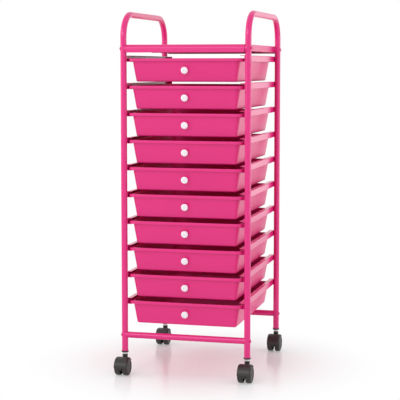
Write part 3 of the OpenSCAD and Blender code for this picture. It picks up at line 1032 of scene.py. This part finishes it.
@dataclass
class Caster:
    """One swivel caster: its hooded housing and two wheels."""

    layout: Layout
    shop: Workshop
    corner: Corner
    trail: float = 20.0
    wheel_r: float = 22.0
    wheel_w: float = 14.5
    tread_edge_r: float = 4.4
    inner_edge_r: float = 2.2
    web_t: float = 6.0
    wheel_play: float = 0.5
    wheel_recess: float = 0.4
    tread_t: float = 3.5
    cap_inset: float = 1.2
    dish: float = 1.4
    edge: float = 0.2
    hood_inner_r: float = 23.0
    hood_r: float = 25.0
    hood_half_w: float = 18.5
    hood_edge_r: float = 5.0
    hood_sweep: float = 140.0
    hood_steps: int = 36
    collar_r: float = 6.8
    collar_edge_r: float = 0.8
    collar_foot: float = 8.0
    collar_top: float = 51.7
    collar_slope: float = 39.0
    clear_r: float = 22.5
    hub_r: float = 6.0
    axle_r: float = 2.5
    axle_play: float = 0.06
    axle_grip: float = 11.5

    @property
    def place(self) -> Matrix:
        """The leg's foot, where the caster swivels."""
        return Matrix.Translation((*self.layout.leg(self.corner), 0))

    @property
    def body(self) -> str:
        """The CAD body that the housing is."""
        return f"{self.corner.word}_caster"

    def build(self) -> None:
        """Makes the housing and both wheels."""
        self.housing()
        for side in Side:
            self.wheel(side)
        self.shop.dress(f"{self.corner.word}_caster_axle", FinishRack.ZINC)

    def housing(self) -> None:
        """Makes the hood, the web between the wheels and the swivel collar."""
        shape = Shape()
        self.hood(shape)
        self.web(shape)
        self.collar(shape)
        bmesh.ops.transform(shape.bm, matrix=self.place, verts=shape.bm.verts[:])
        name = f"{self.corner.word}_caster_housing"
        self.shop.piece(f"{self.corner.word}_caster_hood", shape, FinishRack.DARK,
                        self.body, [name])

    def hood(self, shape: Shape) -> None:
        """Adds the curved cover over the wheels, its shoulders rounded."""
        part = Shape()
        y, z = -self.trail, self.wheel_r
        end = math.degrees(math.acos(
            (self.hood_edge_r - self.hood_r + self.hood_inner_r) / self.hood_edge_r))
        reach = self.hood_r - self.hood_edge_r
        half = self.hood_half_w - self.hood_edge_r
        outline = (arc((reach, -half), self.hood_edge_r, -end, 0)
                   + arc((reach, half), self.hood_edge_r, 0, end))
        start = part.face([(x, y - radius, z) for radius, x in outline])
        part.turn([start, *start.edges], (0, y, z), (1, 0, 0), -self.hood_sweep,
                  self.hood_steps)
        shape.add(part)

    def web(self, shape: Shape) -> None:
        """Adds the web that carries the axle between the wheels."""
        part = Shape()
        turn = Matrix.Translation((0, -self.trail, self.wheel_r)) @ Matrix.Rotation(
            math.pi / 2, 4, "Y")
        radius = (self.hood_inner_r + self.hood_r) / 2
        bmesh.ops.create_cone(part.bm, cap_ends=True, segments=64, radius1=radius,
                              radius2=radius, depth=self.web_t, matrix=turn)
        part.cut((0, 0, self.wheel_r - self.hub_r), (0, 0, -1))
        shape.add(part)

    def collar(self, shape: Shape) -> None:
        """Adds the collar round the swivel stem, cut clear of the wheels."""
        part = Shape()
        low, top, edge = self.wheel_r + self.collar_foot, self.collar_top, self.collar_edge_r
        part.lathe([(0.0, low), (self.collar_r, low),
                    *arc((self.collar_r - edge, top - edge), edge, 0, 90, 3),
                    (0.0, top)], 40)
        slope = math.radians(self.collar_slope)
        way = Vector((0, math.cos(slope), math.sin(slope)))
        axle = Vector((0, -self.trail, self.wheel_r))
        part.cut(axle + way * self.clear_r, -way)
        shape.add(part)

    def wheel(self, side: Side) -> None:
        """Makes one wheel with its rounded tread and dished face."""
        start = self.web_t / 2 + self.wheel_play
        r, w, hub, edge = self.wheel_r, self.wheel_w, self.hub_r, self.edge
        bore = self.axle_r + self.axle_play
        recess, inner_r = self.wheel_recess * w, r - self.tread_t
        cap = r - self.tread_edge_r - self.cap_inset
        face, hub_face = w - self.dish, w - self.dish / 2
        profile = [
            (0.0, self.axle_grip), (bore, self.axle_grip), (bore, 0.0), (hub - edge, 0.0),
            (hub, edge), (hub, recess), (inner_r, recess), (inner_r, edge),
            (inner_r + edge, 0.0),
            *arc((r - self.inner_edge_r, self.inner_edge_r), self.inner_edge_r, -90, 0, 5),
            *arc((r - self.tread_edge_r, w - self.tread_edge_r), self.tread_edge_r, 0, 90, 8),
            (cap + edge / 2, w), (cap - edge, w - 0.75 * edge),
            (cap - self.dish + edge, face + edge / 2), (cap - self.dish - edge, face),
            (hub + 6 * edge, face), (hub + 4.5 * edge, face + edge / 2),
            (hub + edge / 2, hub_face - edge / 2), (hub - edge, hub_face), (0.0, hub_face)]
        shape = Shape()
        place = (self.place @ Matrix.Translation((side.value * start, -self.trail, r))
                 @ Matrix.Rotation(side.value * math.pi / 2, 4, "Y"))
        shape.lathe(profile, 72, place)
        name = f"{self.corner.word}_caster_{side.word}_wheel"
        self.shop.piece(f"{name}_turned", shape, FinishRack.WHEEL, f"{name}_body", [name],
                        40.0)


# ---------------------------------------------------------------- the studio


@dataclass(frozen=True)
class Softbox:
    """A square softbox: where it hangs and the point it faces, in metres, and its watts."""

    name: str
    place: tuple[float, float, float]
    aim: tuple[float, float, float]
    size: float
    power: float

    def hang(self) -> None:
        """Hangs the softbox, out of the camera's sight."""
        data = bpy.data.lights.new(self.name, "AREA")
        data.shape = "SQUARE"
        data.size = self.size
        data.energy = self.power
        lamp = bpy.data.objects.new(self.name, data)
        lamp.location = Vector(self.place)
        way = Vector(self.aim) - Vector(self.place)
        lamp.rotation_euler = way.to_track_quat("-Z", "Y").to_euler()
        lamp.visible_camera = False
        bpy.context.scene.collection.objects.link(lamp)


@dataclass(frozen=True)
class Studio:
    """The camera, the pale floor and the soft light, in metres and degrees."""

    azimuth: float = 14.622
    pitch: float = 5.5
    distance: float = 3.373947
    aside: float = -0.009832
    aim_z: float = 0.469523
    focal_px: float = 1261.934
    frame_px: float = 400.0
    sensor_mm: float = 36.0
    shift_y: float = -0.03
    sky: float = 0.8
    floor_size: float = 30.0
    fade_start: float = 0.12
    fade_end: float = 0.5
    board: float = 0.93
    board_roughness: float = 0.2
    board_specular: float = 0.25
    softboxes: tuple[Softbox, ...] = (
        Softbox("front_softbox", (-0.9, -3.2, 2.2), (0.0, 0.0, 0.45), 1.4, 26.0),
        Softbox("left_softbox", (-3.2, -0.8, 1.4), (0.0, 0.0, 0.45), 2.0, 24.0),
        Softbox("right_softbox", (3.2, 0.2, 0.6), (0.0, 0.0, 0.3), 1.8, 20.0),
        Softbox("back_softbox", (1.6, 3.0, 0.7), (0.0, 0.0, 0.35), 2.2, 6.0),
    )

    def camera(self, middle_y: float) -> None:
        """Places the camera at the photograph's viewing angle.

        Args:
            middle_y: the middle of the cart's legs from front to back, in metres.
        """
        turn, tip = math.radians(self.azimuth), math.radians(self.pitch)
        back = Vector((math.sin(turn) * math.cos(tip), -math.cos(turn) * math.cos(tip),
                       math.sin(tip)))
        right = Vector((math.cos(turn), math.sin(turn), 0))
        data = bpy.data.cameras.new("photo_camera")
        data.sensor_width = self.sensor_mm
        data.lens = self.focal_px / self.frame_px * self.sensor_mm
        data.shift_y = self.shift_y
        camera = bpy.data.objects.new("photo_camera", data)
        camera.location = (Vector((0, middle_y, self.aim_z)) + right * self.aside
                           + back * self.distance)
        camera.rotation_euler = (-back).to_track_quat("-Z", "Y").to_euler()
        bpy.context.scene.collection.objects.link(camera)
        bpy.context.scene.camera = camera
        log.info("camera at %s", tuple(round(v, 3) for v in camera.location))

    def floor(self) -> None:
        """Lays a pale floor that fades to white away from the cart."""
        shape = Shape()
        bmesh.ops.create_grid(shape.bm, x_segments=1, y_segments=1,
                              size=self.floor_size / 2)
        mesh = bpy.data.meshes.new("studio_floor")
        shape.bm.to_mesh(mesh)
        shape.bm.free()
        obj = bpy.data.objects.new("studio_floor", mesh)
        bpy.context.scene.collection.objects.link(obj)
        mesh.materials.append(self.floor_material())

    def floor_material(self) -> bpy.types.Material:
        """Builds the floor's material: glossy white board that fades to plain white."""
        desk = NodeDesk(bpy.data.materials.new("studio_board"))
        place = desk.add("TexCoord")
        far = desk.add("VectorMath", operation="LENGTH")
        desk.link(place.outputs["Object"], far.inputs[0])
        fade = desk.add("MapRange", interpolation_type="SMOOTHSTEP")
        fade.inputs["From Min"].default_value = self.fade_start
        fade.inputs["From Max"].default_value = self.fade_end
        desk.link(far.outputs["Value"], fade.inputs["Value"])
        board = desk.add("BsdfPrincipled")
        board.inputs["Base Color"].default_value = (*[self.board] * 3, 1.0)
        board.inputs["Roughness"].default_value = self.board_roughness
        board.inputs["Specular IOR Level"].default_value = self.board_specular
        white = desk.add("Emission", Strength=1.0)
        blend = desk.add("Math", operation="MULTIPLY")
        desk.link(fade.outputs["Result"], blend.inputs[0])
        desk.link(desk.seen(), blend.inputs[1])
        mix = desk.add("MixShader")
        desk.link(blend.outputs["Value"], mix.inputs[0])
        desk.link(board.outputs[0], mix.inputs[1])
        desk.link(white.outputs[0], mix.inputs[2])
        return desk.shade(mix)

    def sky_light(self) -> None:
        """Surrounds the cart with an even white sky, seen as plain white."""
        desk = NodeDesk(bpy.data.worlds.new("white_tent"))
        mix = desk.add("MixShader")
        desk.link(desk.seen(), mix.inputs[0])
        for slot, strength in ((1, self.sky), (2, 1.0)):
            part = desk.add("Background", Color=(1.0, 1.0, 1.0, 1.0), Strength=strength)
            desk.link(part.outputs[0], mix.inputs[slot])
        bpy.context.scene.world = desk.shade(mix, "World")

    def build(self, middle_y: float) -> None:
        """Sets the camera, the floor and the light.

        Args:
            middle_y: the middle of the cart's legs from front to back, in metres.
        """
        self.camera(middle_y)
        self.floor()
        self.sky_light()
        for softbox in self.softboxes:
            softbox.hang()
        bpy.context.scene.view_settings.view_transform = "Standard"


def main() -> None:
    """Builds the studio and the cart."""
    logging.basicConfig(level=logging.INFO, format="%(name)s: %(message)s")
    layout = Layout()
    shop = Workshop()
    Studio().build(layout.mid_y * MM)
    TubeFrame(layout, shop).build()
    RailBolts(layout, shop).build()
    Runners(layout, shop).build()
    TopTray(layout, shop).build()
    for number in range(1, layout.drawer_count + 1):
        Drawer(layout, shop, number).build()
    for corner in Corner:
        Caster(layout, shop, corner).build()
    shop.dress("rail_inserts", FinishRack.DARK)
    shop.dress("leg_plugs", FinishRack.DARK)
    shop.dress("caster_stems", FinishRack.ZINC)


if __name__ == "__main__":
    main()
